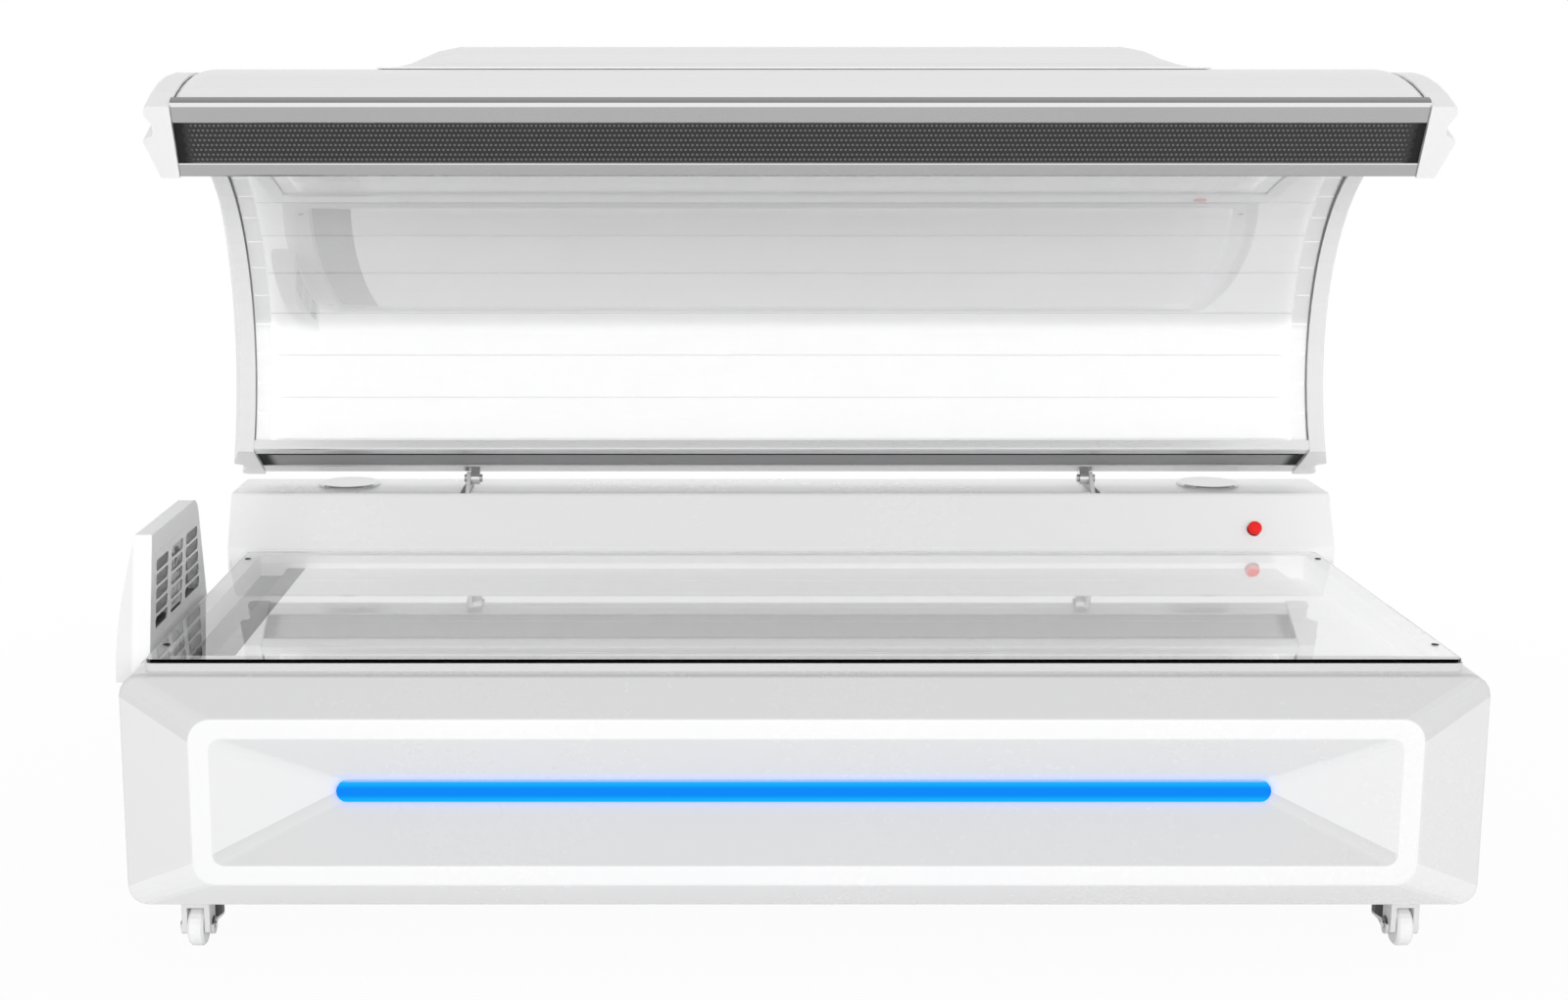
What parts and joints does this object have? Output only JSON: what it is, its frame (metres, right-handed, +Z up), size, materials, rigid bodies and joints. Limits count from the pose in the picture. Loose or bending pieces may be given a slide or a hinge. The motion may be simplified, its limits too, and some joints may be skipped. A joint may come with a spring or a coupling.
{
  "type": "red light therapy bed",
  "caption": "Full-length light therapy bed: a wheeled base with a clear lying sheet over light boards and a curved canopy hinged along its rear edge.",
  "frame": {"origin": "on the floor, under the middle of the bed's bounds with the canopy open", "axes": "+X along the bed's length to the right as seen from the front, +Y from the front to the rear, +Z up"},
  "size_m": [2.2414, 1.1898, 1.4849],
  "materials": {
    "white_plastic": "gloss",
    "grey_plastic": "satin",
    "clear_acrylic": "polished",
    "light_boards": "satin",
    "blue_light": "gloss",
    "aluminium": "satin",
    "steel": "polished",
    "dark_metal": "satin",
    "black_mesh": "satin",
    "red_plastic": "gloss",
    "black_plastic": "satin",
    "housing_grey": "satin",
    "caster_grey": "satin",
    "wheel_grey": "matte"
  },
  "bodies": {
    "base": {"base_cover": "white_plastic", "front_panel": "white_plastic", "light_strip": "blue_light", "lying_sheet": "clear_acrylic", "led_tray": "grey_plastic", "lower_led_panel": "light_boards", "chassis_frame": "aluminium", "rear_box": "white_plastic", "rear_panel": "white_plastic", "cable_gland": "black_plastic", "vent_housing": "white_plastic", "vent_grille": "white_plastic", "vent_fan_frame": "black_plastic", "power_supply": "housing_grey", "control_box": "housing_grey", "round_cover_left": "steel", "round_cover_right": "steel", "button_collar": "steel", "hinge_plate_left": "steel", "hinge_plate_right": "steel", "hinge_pin_left": "steel", "hinge_pin_right": "steel", "caster_front_left_plate": "dark_metal", "caster_front_right_plate": "dark_metal", "caster_rear_left_plate": "dark_metal", "caster_rear_right_plate": "dark_metal"},
    "canopy": {"canopy_shell": "white_plastic", "canopy_hump": "white_plastic", "end_cap_left": "white_plastic", "end_cap_right": "white_plastic", "front_outer_profile": "aluminium", "front_inner_profile": "aluminium", "front_mesh": "black_mesh", "rear_outer_profile": "aluminium", "rear_inner_profile": "aluminium", "rear_mesh": "black_mesh", "canopy_sheet": "clear_acrylic", "canopy_led_panel": "light_boards", "canopy_side_led_left": "light_boards", "canopy_side_led_right": "light_boards", "canopy_rib_left": "dark_metal", "canopy_rib_right": "dark_metal", "hinge_lug_left": "aluminium", "hinge_lug_right": "aluminium", "canopy_driver": "housing_grey"},
    "fan_rotor": {"vent_fan_rotor": "black_plastic"},
    "button": {"stop_button": "red_plastic"},
    "swivel_front_left": {"caster_front_left_fork": "caster_grey", "caster_front_left_axle": "steel"},
    "wheel_front_left": {"caster_front_left_wheel": "wheel_grey"},
    "swivel_front_right": {"caster_front_right_fork": "caster_grey", "caster_front_right_axle": "steel"},
    "wheel_front_right": {"caster_front_right_wheel": "wheel_grey"},
    "swivel_rear_left": {"caster_rear_left_fork": "caster_grey", "caster_rear_left_axle": "steel"},
    "wheel_rear_left": {"caster_rear_left_wheel": "wheel_grey"},
    "swivel_rear_right": {"caster_rear_right_fork": "caster_grey", "caster_rear_right_axle": "steel"},
    "wheel_rear_right": {"caster_rear_right_wheel": "wheel_grey"}
  },
  "joints": [
    {"name": "canopy_hinge", "type": "hinge", "parent": "base", "child": "canopy", "pos_m": [0.01525, 0.44708, 0.635], "axis": [1, 0, 0], "range_deg": [0, 44]},
    {"name": "button_press", "type": "slide", "parent": "base", "child": "button", "axis": [0, 0.8709, -0.4915], "range_m": [0, 0.004], "stiffness_N_per_m": 600},
    {"name": "fan_spin", "type": "hinge", "parent": "base", "child": "fan_rotor", "pos_m": [-1.07688, -0.21967, 0.58229], "axis": [0.9981, 0, -0.0611], "continuous": true},
    {"name": "swivel_front_left", "type": "hinge", "parent": "base", "child": "swivel_front_left", "pos_m": [-0.98975, -0.41192, 0.09], "axis": [0, 0, 1], "continuous": true},
    {"name": "roll_front_left", "type": "hinge", "parent": "swivel_front_left", "child": "wheel_front_left", "pos_m": [-0.98975, -0.45192, 0.03371], "axis": [1, 0, 0], "continuous": true},
    {"name": "swivel_front_right", "type": "hinge", "parent": "base", "child": "swivel_front_right", "pos_m": [1.02025, -0.41192, 0.09], "axis": [0, 0, 1], "continuous": true},
    {"name": "roll_front_right", "type": "hinge", "parent": "swivel_front_right", "child": "wheel_front_right", "pos_m": [1.02025, -0.45192, 0.03371], "axis": [1, 0, 0], "continuous": true},
    {"name": "swivel_rear_left", "type": "hinge", "parent": "base", "child": "swivel_rear_left", "pos_m": [-0.98975, 0.49708, 0.09], "axis": [0, 0, 1], "continuous": true},
    {"name": "roll_rear_left", "type": "hinge", "parent": "swivel_rear_left", "child": "wheel_rear_left", "pos_m": [-0.98975, 0.45708, 0.03371], "axis": [1, 0, 0], "continuous": true},
    {"name": "swivel_rear_right", "type": "hinge", "parent": "base", "child": "swivel_rear_right", "pos_m": [1.02025, 0.49708, 0.09], "axis": [0, 0, 1], "continuous": true},
    {"name": "roll_rear_right", "type": "hinge", "parent": "swivel_rear_right", "child": "wheel_rear_right", "pos_m": [1.02025, 0.45708, 0.03371], "axis": [1, 0, 0], "continuous": true}
  ]
}
